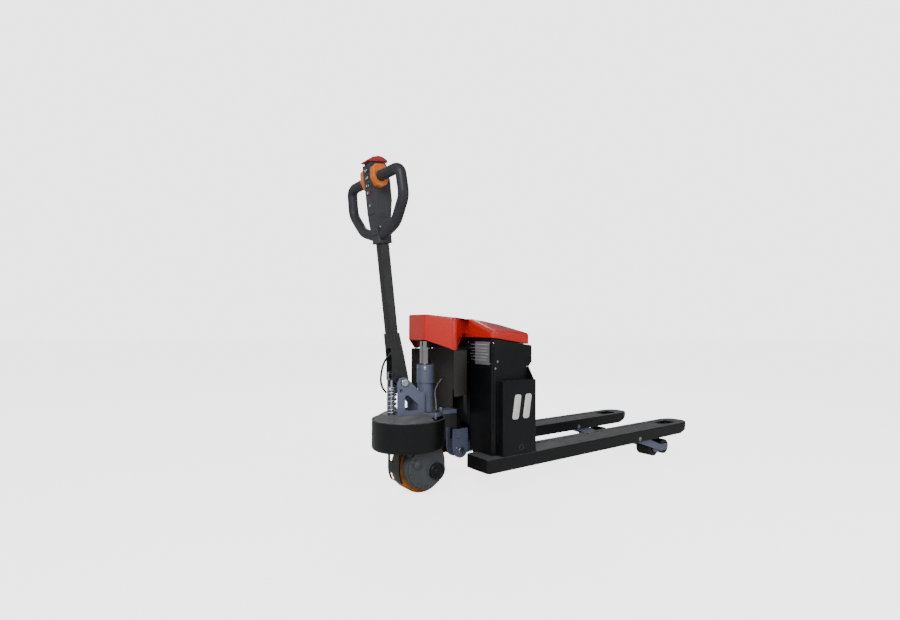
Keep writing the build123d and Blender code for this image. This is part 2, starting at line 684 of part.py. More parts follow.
def build_all():
    """Builds every part once."""
    for side, tag in ((1, "left"), (-1, "right")):
        add(f"{tag}_fork", fork(side))
        add(f"{tag}_cheek", cheek(side))
        add(f"{tag}_load_arm", load_arm(side))
        add(f"{tag}_bogie", bogie(side))
        add(f"{tag}_roller_front", load_roller(side, -ROLLER_DX))
        add(f"{tag}_roller_rear", load_roller(side, ROLLER_DX))
        add(f"{tag}_thumb_wheel", thumb_wheel(side))
        add(f"{tag}_grip_loop", head_loop(side))
    for name, make in (
            ("base_frame", base_frame), ("battery_box", battery_box),
            ("front_shield", front_shield), ("top_cover", top_cover),
            ("cover_panel", cover_panel), ("data_plate", data_plate),
            ("fork_pins", fork_pins), ("lift_head", lift_head),
            ("piston_rod", piston_rod), ("carrier_collar", carrier_collar),
            ("carrier_link", carrier_link), ("carrier_pin", carrier_pin),
            ("carrier_arm", carrier_arm),
            ("push_rods", push_rods), ("drive_skirt", drive_skirt),
            ("pedestal", pedestal), ("drive_motor", drive_motor), ("gearbox", gearbox),
            ("gearbox_cover", gearbox_cover), ("gearbox_cap", gearbox_cap),
            ("wheel_hub", wheel_hub),
            ("wheel_tyre", wheel_tyre), ("wheel_guard", wheel_guard),
            ("lift_cylinder", lift_cylinder),
            ("tiller_bracket", tiller_bracket), ("pivot_pin", pivot_pin),
            ("tiller_tube", tiller_tube), ("tiller_yoke", tiller_yoke),
            ("head_body", head_body),
            ("control_panel", control_panel), ("belly_button", belly_button),
            ("rear_trim", rear_trim), ("spring_rod", spring_rod),
            ("return_spring", return_spring),
            ("rocker_arm", rocker_arm)):
        add(name, make())
    for index in range(len(BUTTON_S)):
        add(f"panel_button_{index + 1}", panel_button(index))
    power_pack()
    cables()


def write_all():
    """Writes every part and prints the overall size."""
    low, high = [1e9] * 3, [-1e9] * 3
    for name, shape in PARTS.items():
        moved = Pos(SHIFT_X, 0, 0) * shape
        moved.label = name
        export_step(moved, f"parts/{name}.step")
        b = moved.bounding_box()
        low = [min(a, c) for a, c in zip(low, tuple(b.min))]
        high = [max(a, c) for a, c in zip(high, tuple(b.max))]
    print(len(PARTS), "parts", [round(v, 2) for v in low], [round(v, 2) for v in high])


build_all()
write_all()
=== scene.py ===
"""Looks of an electric walkie pallet jack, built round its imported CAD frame.

Sizes are laid out in millimetres from the drive wheel's ground contact, +X towards the
fork tips and +Z up, and `at` turns them into metres in the shared frame.
"""
import logging
import math
from dataclasses import dataclass
from enum import Enum
from typing import Callable, Optional, Sequence

import bmesh
import bpy
from mathutils import Matrix, Vector

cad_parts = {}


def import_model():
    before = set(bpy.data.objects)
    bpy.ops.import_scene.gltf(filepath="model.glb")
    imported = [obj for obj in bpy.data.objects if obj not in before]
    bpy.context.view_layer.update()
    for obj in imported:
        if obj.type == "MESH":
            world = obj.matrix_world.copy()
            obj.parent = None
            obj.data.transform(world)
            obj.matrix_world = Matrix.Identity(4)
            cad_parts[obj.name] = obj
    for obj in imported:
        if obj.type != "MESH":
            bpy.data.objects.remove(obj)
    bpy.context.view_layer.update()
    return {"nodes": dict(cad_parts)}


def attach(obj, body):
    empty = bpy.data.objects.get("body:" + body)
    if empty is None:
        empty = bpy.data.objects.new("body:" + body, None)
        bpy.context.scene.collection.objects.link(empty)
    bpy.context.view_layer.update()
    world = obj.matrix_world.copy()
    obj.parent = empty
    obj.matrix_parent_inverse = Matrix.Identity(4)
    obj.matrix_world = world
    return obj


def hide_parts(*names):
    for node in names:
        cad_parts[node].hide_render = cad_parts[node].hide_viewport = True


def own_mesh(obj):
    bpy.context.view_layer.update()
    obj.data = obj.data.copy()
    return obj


LOG = logging.getLogger("pallet_jack")
MM = 0.001
ORIGIN_X = -651.91     # layout frame to the shared frame, mm
LEAN = 6.8             # tiller's lean towards the operator, degrees
TILLER_FOOT = (-101.0, 439.0)
AXIS_X = 31.0          # steering axis
COIL_X = -121.0        # centre of the tiller's return spring
GEAR_X, GEAR_Z = -15.0, 112.0    # centre of the gear case
SKIRT_X = -46.0        # centre of the round skirt

Point = tuple[float, float, float]
Outline = list[tuple[float, float]]


def at(x: float, y: float, z: float) -> Vector:
    """Returns a layout point in metres in the shared frame."""
    return Vector(((x + ORIGIN_X) * MM, y * MM, z * MM))


def up_tiller(x: float, y: float, s: float) -> Vector:
    """Returns a point given across, beside and up the leaning tiller.

    Args:
        x: Distance across the tiller, towards the forks.
        y: Distance to the left.
        s: Distance up the tiller from the height of its hinge.

    Returns:
        The point in metres in the shared frame.
    """
    a = math.radians(LEAN)
    px = TILLER_FOOT[0] - s * math.sin(a) + x * math.cos(a)
    pz = TILLER_FOOT[1] + s * math.cos(a) + x * math.sin(a)
    return at(px, y, pz)


def linear(code: str) -> tuple[float, float, float, float]:
    """Returns a linear RGBA colour for an sRGB hex code."""
    raw = [int(code[i:i + 2], 16) / 255 for i in (1, 3, 5)]
    out = [c / 12.92 if c <= 0.04045 else ((c + 0.055) / 1.055) ** 2.4 for c in raw]
    return (out[0], out[1], out[2], 1.0)


# ---------------------------------------------------------------- finishes
class Grain(Enum):
    """How a surface was made, which decides its fine relief."""

    SPRAYED = "sprayed"
    MOULDED = "moulded"
    CAST = "cast"
    BRUSHED = "brushed"
    GROUND = "ground"


@dataclass(frozen=True)
class Finish:
    """One real finish.

    Attributes:
        title: Common name of the material.
        colour: Main colour, sRGB hex.
        tint: Colour of its broad patches, sRGB hex.
        grain: How the surface was made.
        grain_mm: Size of its relief.
        depth_mm: Height of its relief.
        roughness: Middle roughness.
        spread: How far roughness wanders either way.
        metallic: 1 for bare metal.
        ior: Refractive index, for a dielectric.
        coat: Clear layer weight.
        patch_mm: Size of the broad patches.
        patch: Strength of the broad patches.
        edge: Colour of pale edges, partly rubbed wear and partly a painted highlight, or None.
        edge_mm: Width of rounded and rubbed edges, and of the painted edge highlight.
        rub_and_highlight: Strength of the rubbing and of the painted edge highlight.
        dust: Strength of pale dust on faces that look up.
    """

    title: str
    colour: str
    tint: str
    grain: Grain
    grain_mm: float = 2.0
    depth_mm: float = 0.03
    roughness: float = 0.4
    spread: float = 0.06
    metallic: float = 0.0
    ior: float = 1.5
    coat: float = 0.0
    patch_mm: float = 120.0
    patch: float = 0.5
    edge: Optional[str] = None
    edge_mm: float = 1.2
    rub_and_highlight: float = 0.5
    dust: float = 0.0

    def build(self) -> bpy.types.Material:
        """Builds the node material.

        Returns:
            The new material, named for what it is.
        """
        mat = bpy.data.materials.new(self.title)
        mat.use_nodes = True
        tree = mat.node_tree
        tree.nodes.clear()
        out = add_node(tree, "ShaderNodeOutputMaterial")
        shader = add_node(tree, "ShaderNodeBsdfPrincipled", {
            "Metallic": self.metallic, "Coat Weight": self.coat, "Coat Roughness": 0.12})
        if self.metallic < 0.5:
            shader.inputs["IOR"].default_value = self.ior
        tree.links.new(shader.outputs[0], out.inputs[0])
        where = add_node(tree, "ShaderNodeTexCoord").outputs["Object"]
        patches = add_node(tree, "ShaderNodeTexNoise", {
            "Vector": where, "Scale": 1000 / self.patch_mm, "Detail": 4.0})
        tone = add_node(tree, "ShaderNodeMapRange", {
            "Value": patches.outputs[0], "From Min": 0.35, "From Max": 0.68,
            "To Max": self.patch})
        colour = blend_node(tree, tone.outputs[0], linear(self.colour), linear(self.tint))
        relief = self.relief(tree, where)
        rough = add_node(tree, "ShaderNodeMapRange", {
            "Value": patches.outputs[0], "From Min": 0.3, "From Max": 0.7,
            "To Min": self.roughness - self.spread, "To Max": self.roughness + self.spread})
        tree.links.new(rough.outputs[0], shader.inputs["Roughness"])
        rounded = add_node(tree, "ShaderNodeBevel", {"Radius": self.edge_mm * MM}, samples=6)
        # Paler edges: rubbed wear, and a painted highlight along the rounded edges.
        if self.edge:
            colour = self.rubbed_and_highlit(tree, colour, rounded, patches.outputs[0], where)
        if self.dust:
            colour = self.dusted(tree, colour, where)
        tree.links.new(colour, shader.inputs["Base Color"])
        bump = add_node(tree, "ShaderNodeBump", {
            "Height": relief, "Normal": rounded.outputs[0], "Strength": 0.6,
            "Distance": self.depth_mm * MM})
        tree.links.new(bump.outputs[0], shader.inputs["Normal"])
        return mat

    def relief(self, tree: bpy.types.NodeTree, where: bpy.types.NodeSocket
               ) -> bpy.types.NodeSocket:
        """Returns the height pattern of the surface.

        Args:
            tree: The material's nodes.
            where: Object coordinates in metres.

        Returns:
            The socket that carries the height.
        """
        scale = 1000 / self.grain_mm
        if self.grain is Grain.BRUSHED:
            stretch = add_node(tree, "ShaderNodeMapping", {
                "Vector": where, "Scale": (1.0, 1.0, 0.06)})
            return add_node(tree, "ShaderNodeTexNoise", {
                "Vector": stretch.outputs[0], "Scale": scale, "Detail": 3.0}).outputs[0]
        if self.grain is Grain.GROUND:
            return add_node(tree, "ShaderNodeTexWave", {
                "Vector": where, "Scale": scale / 3, "Distortion": 1.5},
                bands_direction="Z").outputs[1]
        if self.grain is Grain.CAST:
            return add_node(tree, "ShaderNodeTexVoronoi", {
                "Vector": where, "Scale": scale}).outputs[0]
        return add_node(tree, "ShaderNodeTexNoise", {
            "Vector": where, "Scale": scale,
            "Detail": 6.0 if self.grain is Grain.MOULDED else 1.5}).outputs[0]

    def rubbed_and_highlit(self, tree: bpy.types.NodeTree, colour: bpy.types.NodeSocket,
               rounded: bpy.types.Node, noise: bpy.types.NodeSocket,
               where: bpy.types.NodeSocket) -> bpy.types.NodeSocket:
        """Adds paler edges: rubbed wear, and a painted highlight along the rounded edges.

        Args:
            tree: The material's nodes.
            colour: Colour so far.
            rounded: The node that rounds the normal at edges.
            noise: Broad patches that break up the rubbing and the painted highlight.
            where: Object coordinates in metres.

        Returns:
            The new colour socket.
        """
        face = add_node(tree, "ShaderNodeNewGeometry").outputs["Normal"]
        dot = add_node(tree, "ShaderNodeVectorMath", {0: rounded.outputs[0], 1: face},
                       operation="DOT_PRODUCT")
        # How far the rounded normal turns from the face: the mask for rubbed wear and the painted
        # edge highlight.
        edge = add_node(tree, "ShaderNodeMapRange", {
            "Value": dot.outputs["Value"], "From Min": 0.99, "From Max": 0.88,
            "To Max": self.rub_and_highlight})
        fine = add_node(tree, "ShaderNodeTexNoise", {
            "Vector": where, "Scale": 90.0, "Detail": 3.0})
        broken = add_node(tree, "ShaderNodeMapRange", {
            "Value": fine.outputs[0], "From Min": 0.38, "From Max": 0.6, "To Min": 0.25})
        amount = add_node(tree, "ShaderNodeMath", {0: edge.outputs[0], 1: broken.outputs[0]},
                          operation="MULTIPLY")
        return blend_node(tree, amount.outputs[0], colour, linear(self.edge or "#FFFFFF"))

    def dusted(self, tree: bpy.types.NodeTree, colour: bpy.types.NodeSocket,
               where: bpy.types.NodeSocket) -> bpy.types.NodeSocket:
        """Adds pale dust and scuffs on faces that look up.

        Args:
            tree: The material's nodes.
            colour: Colour so far.
            where: Object coordinates in metres.

        Returns:
            The new colour socket.
        """
        normal = add_node(tree, "ShaderNodeNewGeometry").outputs["Normal"]
        parts = add_node(tree, "ShaderNodeSeparateXYZ", {0: normal})
        long = add_node(tree, "ShaderNodeMapping", {
            "Vector": where, "Scale": (0.25, 1.0, 1.0)})
        scuff = add_node(tree, "ShaderNodeTexNoise", {
            "Vector": long.outputs[0], "Scale": 60.0, "Detail": 5.0})
        level = add_node(tree, "ShaderNodeMapRange", {
            "Value": scuff.outputs[0], "From Min": 0.35, "From Max": 0.75,
            "To Min": self.dust * 0.6, "To Max": self.dust})
        top = add_node(tree, "ShaderNodeMapRange", {
            "Value": parts.outputs[2], "From Min": 0.6, "From Max": 0.95})
        amount = add_node(tree, "ShaderNodeMath", {0: level.outputs[0], 1: top.outputs[0]},
                          operation="MULTIPLY")
        return blend_node(tree, amount.outputs[0], colour, linear("#9C9DA2"))


def add_node(tree: bpy.types.NodeTree, kind: str, inputs: Optional[dict] = None,
             **settings: object) -> bpy.types.Node:
    """Adds a node, sets it up and links what feeds it.

    Args:
        tree: The material's nodes.
        kind: Blender's name for the node type.
        inputs: Socket name or number to a value or a socket.
        **settings: Attributes of the node itself.

    Returns:
        The new node.
    """
    node = tree.nodes.new(kind)
    for name, value in settings.items():
        setattr(node, name, value)
    for name, value in (inputs or {}).items():
        if isinstance(value, bpy.types.NodeSocket):
            tree.links.new(value, node.inputs[name])
        else:
            node.inputs[name].default_value = value
    return node


def blend_node(tree: bpy.types.NodeTree, factor: bpy.types.NodeSocket, first: object,
               second: object) -> bpy.types.NodeSocket:
    """Mixes two colours or sockets and returns the colour socket."""
    node = add_node(tree, "ShaderNodeMix", {0: factor, 6: first, 7: second},
                    data_type="RGBA")
    return node.outputs[2]


# Every finish with an edge colour pales its rounded edges: partly rubbed wear, partly a painted
# highlight.
# Powder-coated steel, baked on: near black with a soft sheen, paler at the edges, partly from
# rubbing and partly as a painted highlight.
BLACK_COAT = Finish("powder_coated_steel_black", "#0E0F11", "#141518", Grain.SPRAYED,
                    grain_mm=1.6, depth_mm=0.02, roughness=0.4, ior=1.36,
                    edge="#4A4C52", edge_mm=1.6, rub_and_highlight=0.5, dust=0.08)
# Top of the drive unit: the same coat, greyed by dust and shoes.
SKIRT_TOP = Finish("powder_coated_steel_dusty", "#35373A", "#26282B", Grain.SPRAYED,
                   grain_mm=1.6, depth_mm=0.03, roughness=0.42, edge="#8A8C90",
                   edge_mm=1.6, rub_and_highlight=0.6, dust=0.5, patch=0.8)
# The same coat on the forks, scuffed grey by pallets where it looks up; its pale edges are partly
# rubbed wear, partly a painted highlight on the rounded edges.
FORK_COAT = Finish("powder_coated_fork_steel", "#0F1012", "#17181B", Grain.SPRAYED,
                   grain_mm=1.6, depth_mm=0.03, roughness=0.36, ior=1.38,
                   edge="#B9BABF", edge_mm=2.2, rub_and_highlight=0.85, dust=0.42)
# Spray-painted steel in blue grey: even, slightly glossy, dusty in the hollows.
# Its pale lilac edges are a painted highlight, with a little rubbed wear.
GREY_PAINT = Finish("sprayed_steel_blue_grey", "#687088", "#5A6178", Grain.SPRAYED,
                    grain_mm=2.2, depth_mm=0.03, roughness=0.42, coat=0.1,
                    edge="#A0A6B6", edge_mm=1.0, rub_and_highlight=0.5)
# Cast iron gear case under dark grey paint: pebbled skin, dull.
GEAR_CAST = Finish("painted_cast_iron", "#4A4D52", "#3E4146", Grain.CAST, grain_mm=2.5,
                   depth_mm=0.12, roughness=0.5, edge="#787B82", rub_and_highlight=0.4)
# Inside face of the shield: primer brown sheet steel, flat and dusty.
SHIELD_COAT = Finish("primed_sheet_steel", "#3A3733", "#2E2C2A", Grain.SPRAYED,
                     grain_mm=3.0, depth_mm=0.03, roughness=0.55, patch=0.8)
# ABS moulding in signal red: smooth and glossy, faint flow marks.
# Its pale pink edges are a painted highlight on the rounded corners and rims.
RED_ABS = Finish("abs_moulded_red", "#D8271B", "#C81F14", Grain.MOULDED, grain_mm=3.0,
                 depth_mm=0.012, roughness=0.3, coat=0.25, edge="#E8695C",
                 edge_mm=2.5, rub_and_highlight=0.35)
# Glass-filled nylon of the tiller head: fine spark-eroded texture, matt.
HEAD_NYLON = Finish("glass_filled_nylon", "#393A40", "#33343A", Grain.MOULDED,
                    grain_mm=1.2, depth_mm=0.04, roughness=0.55, edge="#5C5D64",
                    edge_mm=1.5, rub_and_highlight=0.3)
# Soft moulded rubber of the grips: bluish black, broad dull highlight.
GRIP_RUBBER = Finish("thermoplastic_grip_rubber", "#2B2C33", "#24252B", Grain.MOULDED,
                     grain_mm=1.4, depth_mm=0.06, roughness=0.5, patch_mm=60)
# Tiller tube: painted steel, slightly warmer and flatter than the box.
TILLER_PAINT = Finish("sprayed_steel_black", "#1C1D1F", "#232426", Grain.SPRAYED,
                      grain_mm=1.8, depth_mm=0.03, roughness=0.45,
                      edge="#55565A", edge_mm=1.2, rub_and_highlight=0.4)
# Orange ABS of the thumb wheels.
# Its pale edges are partly rubbed wear, partly a painted highlight.
ORANGE_ABS = Finish("abs_moulded_orange", "#E07A24", "#D06A18", Grain.MOULDED,
                    grain_mm=1.5, depth_mm=0.02, roughness=0.38, coat=0.15,
                    edge="#F3A868", rub_and_highlight=0.3)
# Red polycarbonate of the safety button.
RED_BUTTON = Finish("polycarbonate_red", "#B23A40", "#A42F36", Grain.MOULDED,
                    grain_mm=2.0, depth_mm=0.01, roughness=0.25, coat=0.3)
# Cast polyurethane tread: amber brown, waxy, scuffed where it rolls.
ORANGE_PU = Finish("cast_polyurethane_amber", "#B4651E", "#96500F", Grain.GROUND,
                   grain_mm=4.0, depth_mm=0.06, roughness=0.42, patch_mm=40, patch=0.8)
# Dark polyurethane of the load rollers.
DARK_PU = Finish("cast_polyurethane_black", "#1D1D1F", "#2A2A2C", Grain.GROUND,
                 grain_mm=3.0, depth_mm=0.05, roughness=0.45, patch_mm=30)
# Hard chrome on the ground rod: mirror with the faintest turning marks.
CHROME = Finish("hard_chrome", "#E4E5E8", "#D8DADD", Grain.GROUND, grain_mm=1.2,
                depth_mm=0.004, roughness=0.08, spread=0.03, metallic=1.0)
# Turned steel pins and hubs.
TURNED_STEEL = Finish("turned_steel", "#A7A9AD", "#8E9095", Grain.GROUND, grain_mm=1.0,
                      depth_mm=0.02, roughness=0.32, metallic=1.0, patch_mm=20)
# Zinc-plated fasteners and spring: pale, slightly blue, satin.
ZINC = Finish("zinc_plated_steel", "#C9CCD2", "#A9ADB5", Grain.BRUSHED, grain_mm=1.0,
              depth_mm=0.02, roughness=0.35, metallic=1.0, patch_mm=15)
# Anodised aluminium plate.
PLATE = Finish("anodised_aluminium", "#A8A9AF", "#9A9BA2", Grain.BRUSHED, grain_mm=0.8,
               depth_mm=0.01, roughness=0.45, metallic=0.6, patch_mm=40)
# Grey polycarbonate inlay on the hood.
GREY_INLAY = Finish("polycarbonate_grey", "#6C6E74", "#5E6066", Grain.MOULDED,
                    grain_mm=1.2, depth_mm=0.03, roughness=0.45)
# White vinyl film.
WHITE_FILM = Finish("vinyl_film_white", "#F0F0EE", "#E6E6E2", Grain.MOULDED,
                    grain_mm=4.0, depth_mm=0.01, roughness=0.4, patch=0.3)
# Pale print on the keys.
KEY_PRINT = Finish("screen_print_pale", "#C6C7CA", "#B4B5B9", Grain.MOULDED,
                   grain_mm=1.0, depth_mm=0.01, roughness=0.5)
# Key caps: black silicone.
KEY_SILICONE = Finish("silicone_black", "#26272B", "#202125", Grain.MOULDED,
                      grain_mm=0.8, depth_mm=0.02, roughness=0.5)
# PVC cable sheath, black and white.
BLACK_PVC = Finish("pvc_sheath_black", "#121214", "#1A1A1C", Grain.MOULDED, grain_mm=1.0,
                   depth_mm=0.01, roughness=0.4)
WHITE_PVC = Finish("pvc_sheath_white", "#C4C6C2", "#B2B4B0", Grain.MOULDED, grain_mm=1.0,
                   depth_mm=0.01, roughness=0.4)
# Battery case and electronics cover, hidden in the box.
CASE_PP = Finish("polypropylene_case", "#2D2E32", "#26272B", Grain.MOULDED, grain_mm=1.5,
                 depth_mm=0.03, roughness=0.5)


class Paintbox:
    """Builds each finish once and dresses objects with it."""

    def __init__(self) -> None:
        """Starts with no materials built."""
        self.made: dict[str, bpy.types.Material] = {}

    def get(self, finish: Finish) -> bpy.types.Material:
        """Returns the material of a finish, building it the first time."""
        if finish.title not in self.made:
            self.made[finish.title] = finish.build()
        return self.made[finish.title]

    def dress(self, obj: bpy.types.Object, finish: Finish) -> None:
        """Puts a finish on every slot of an object."""
        mat = self.get(finish)
        if not obj.material_slots:
            obj.data.materials.append(mat)
        for place in obj.material_slots:
            place.material = mat


# ---------------------------------------------------------------- mesh tools
def to_object(name: str, shape: bmesh.types.BMesh, smooth_deg: float = 35.0
              ) -> bpy.types.Object:
    """Turns a bmesh into a linked object with split-angle smooth shading.

    Args:
        name: Piece name.
        shape: The mesh, in metres in the shared frame. It is freed.
        smooth_deg: Edges sharper than this stay sharp.

    Returns:
        The new object.
    """
    bmesh.ops.remove_doubles(shape, verts=shape.verts, dist=1e-6)
    bmesh.ops.recalc_face_normals(shape, faces=shape.faces)
    limit = math.radians(smooth_deg)
    for edge in shape.edges:
        edge.smooth = len(edge.link_faces) == 2 and edge.calc_face_angle(0.0) < limit
    for face in shape.faces:
        face.smooth = True
    mesh = bpy.data.meshes.new(name)
    shape.to_mesh(mesh)
    shape.free()
    obj = bpy.data.objects.new(name, mesh)
    bpy.context.scene.collection.objects.link(obj)
    return obj


def rounded(points: Outline, radius: float, steps: int = 6) -> Outline:
    """Rounds every corner of a closed outline by one radius in mm."""
    return rounded_each(points, [radius] * len(points), steps)


def rounded_each(points: Outline, radii: Sequence[float], steps: int = 6) -> Outline:
    """Rounds the corners of a closed outline, each by its own radius.

    Args:
        points: Corners in order.
        radii: One radius in mm for each corner.
        steps: Points per corner.

    Returns:
        The outline with arcs at its corners.
    """
    out: Outline = []
    count = len(points)
    for i, radius in enumerate(radii):
        trio = [points[i - 1], points[i], points[(i + 1) % count]]
        p = Vector(trio[1])
        a, b = Vector(trio[0]) - p, Vector(trio[2]) - p
        cut = min(radius / math.tan(a.angle(b) / 2), a.length * 0.48, b.length * 0.48)
        p0, p1 = p + a.normalized() * cut, p + b.normalized() * cut
        for k in range(steps + 1):
            t = k / steps
            q = p0 * (1 - t) ** 2 + p * 2 * t * (1 - t) + p1 * t ** 2
            out.append((q.x, q.y))
    return out


def ramp(x: float, knots: Sequence[tuple[float, float]]) -> float:
    """Returns the value at x on straight runs between knots."""
    for (x0, v0), (x1, v1) in zip(knots, knots[1:]):
        if x <= x1:
            return v0 + (v1 - v0) * max(0.0, x - x0) / (x1 - x0)
    return knots[-1][1]


def shrink(points: Outline, gap: float) -> Outline:
    """Returns an outline moved inwards by gap, for anticlockwise corners."""
    out: Outline = []
    count = len(points)
    for i, here in enumerate(points):
        a = (Vector(here) - Vector(points[i - 1]))
        b = (Vector(points[(i + 1) % count]) - Vector(here))
        if a.length < 1e-6:
            a = b
        if b.length < 1e-6:
            b = a
        n = Vector((-a.y, a.x)).normalized() + Vector((-b.y, b.x)).normalized()
        n = n.normalized() if n.length > 1e-6 else Vector((0.0, 0.0))
        out.append((here[0] + n.x * gap, here[1] + n.y * gap))
    return out


def stack(rings: Sequence[Sequence[Vector]], closed_ends: bool = True
          ) -> bmesh.types.BMesh:
    """Skins a list of equal rings of points, and caps the two ends."""
    shape = bmesh.new()
    rows = [[shape.verts.new(p) for p in ring] for ring in rings]
    size = len(rows[0])
    for low, high in zip(rows, rows[1:]):
        for i in range(size):
            j = (i + 1) % size
            shape.faces.new((low[i], low[j], high[j], high[i]))
    if closed_ends:
        for row in (rows[0], rows[-1]):
            face = shape.faces.new(row)
            bmesh.ops.triangulate(shape, faces=[face])
    return shape


def slab(points: Outline, low: float, high: float, place: Callable[..., Vector],
         soft: float = 1.0) -> bmesh.types.BMesh:
    """Makes a plate from an outline, with softened rims on both faces.

    Args:
        points: Anticlockwise outline in mm.
        low: First face's position in mm.
        high: Second face's position in mm.
        place: Turns (u, v, w) in mm into a point in metres.
        soft: Size of the softened rim in mm.

    Returns:
        The plate's mesh.
    """
    rings = []
    for depth, gap in ((low, soft), (low + soft * 0.3, soft * 0.3), (low + soft, 0.0),
                       (high - soft, 0.0), (high - soft * 0.3, soft * 0.3), (high, soft)):
        rings.append([place(u, v, depth) for u, v in shrink(points, gap)])
    return stack(rings)


def frame_of(axis: Vector) -> Matrix:
    """Returns a rotation whose Z runs along the axis."""
    return axis.normalized().to_track_quat("Z", "Y").to_matrix().to_4x4()


def lathe(profile: Outline, centre: Vector, axis: Vector, steps: int = 40
          ) -> bmesh.types.BMesh:
    """Turns a profile of (radius, height) in mm round an axis."""
    turn = Matrix.Translation(centre) @ frame_of(axis)
    rings = []
    for radius, height in profile:
        ring = []
        for k in range(steps):
            a = 2 * math.pi * k / steps
            ring.append(turn @ Vector((radius * MM * math.cos(a), radius * MM * math.sin(a),
                                       height * MM)))
        rings.append(ring)
    return stack(rings)


def hex_head(centre: Vector, axis: Vector, across: float, height: float
             ) -> bmesh.types.BMesh:
    """Makes a hexagon bolt head on a washer, with a chamfered crown."""
    turn = Matrix.Translation(centre) @ frame_of(axis)
    outer = across / 2 / math.cos(math.pi / 6)
    rings = []
    for scale, z in ((1.0, 1.2), (1.0, height * 0.82), (0.86, height)):
        ring = []
        for k in range(12):
            a = math.pi * k / 6
            r = outer if k % 2 == 0 else across / 2
            r = r * scale if scale == 1.0 else across / 2 * scale + 0.6
            ring.append(turn @ Vector((r * MM * math.cos(a), r * MM * math.sin(a), z * MM)))
        rings.append(ring)
    shape = stack(rings)
    washer = lathe([(outer * 1.12, 0.0), (outer * 1.18, 0.3), (outer * 1.18, 1.0),
                    (outer * 1.1, 1.3)], centre, axis, 28)
    return merged(shape, washer)


def socket_head(centre: Vector, axis: Vector, radius: float, height: float
                ) -> bmesh.types.BMesh:
    """Makes a cap screw head with a recessed socket."""
    return lathe([(radius, 0.0), (radius, height * 0.8), (radius * 0.9, height),
                  (radius * 0.55, height), (radius * 0.5, height * 0.45),
                  (radius * 0.05, height * 0.4)], centre, axis, 24)


def merged(*shapes: bmesh.types.BMesh) -> bmesh.types.BMesh:
    """Joins several meshes into one, and frees the later ones."""
    base = shapes[0]
    for extra in shapes[1:]:
        mesh = bpy.data.meshes.new("joining")
        extra.to_mesh(mesh)
        extra.free()
        base.from_mesh(mesh)
        bpy.data.meshes.remove(mesh)
    return base


def bead(points: Sequence[Vector], radius: float) -> bmesh.types.BMesh:
    """Makes a weld bead: a lumpy half-round run through points."""
    path: list[Vector] = []
    for a, b in zip(points, points[1:]):
        count = max(2, int((b - a).length / (radius * MM * 0.8)))
        path += [a.lerp(b, k / count) for k in range(count)]
    path.append(points[-1])
    rings = []
    for i, p in enumerate(path):
        ahead = path[min(i + 1, len(path) - 1)] - path[max(i - 1, 0)]
        turn = Matrix.Translation(p) @ frame_of(ahead)
        size = radius * MM * (0.82 + 0.18 * math.sin(i * 2.1))
        rings.append([turn @ Vector((size * math.cos(a * math.pi / 4),
                                     size * math.sin(a * math.pi / 4), 0)) for a in range(8)])
    return stack(rings)


def smooth_run(name: str, points: Sequence[Vector], radius: float) -> bpy.types.Object:
    """Makes a round tube that follows a smooth curve through control points.

    Args:
        name: Piece name.
        points: Control points in metres.
        radius: Tube radius in mm.

    Returns:
        A curve object.
    """
    curve = bpy.data.curves.new(name, "CURVE")
    curve.dimensions = "3D"
    line = curve.splines.new("NURBS")
    line.points.add(len(points) - 1)
    for knot, p in zip(line.points, points):
        knot.co = (p.x, p.y, p.z, 1.0)
    line.order_u = 3
    line.use_endpoint_u = True
    line.resolution_u = 12
    curve.bevel_depth = radius * MM
    curve.bevel_resolution = 6
    curve.use_fill_caps = True
    obj = bpy.data.objects.new(name, curve)
    bpy.context.scene.collection.objects.link(obj)
    return obj


def as_mesh(obj: bpy.types.Object) -> bpy.types.Object:
    """Replaces a curve object with a smooth-shaded mesh of the same name."""
    graph = bpy.context.evaluated_depsgraph_get()
    mesh = bpy.data.meshes.new_from_object(obj.evaluated_get(graph))
    name = obj.name
    bpy.data.objects.remove(obj)
    for face in mesh.polygons:
        face.use_smooth = True
    made = bpy.data.objects.new(name, mesh)
    bpy.context.scene.collection.objects.link(made)
    return made


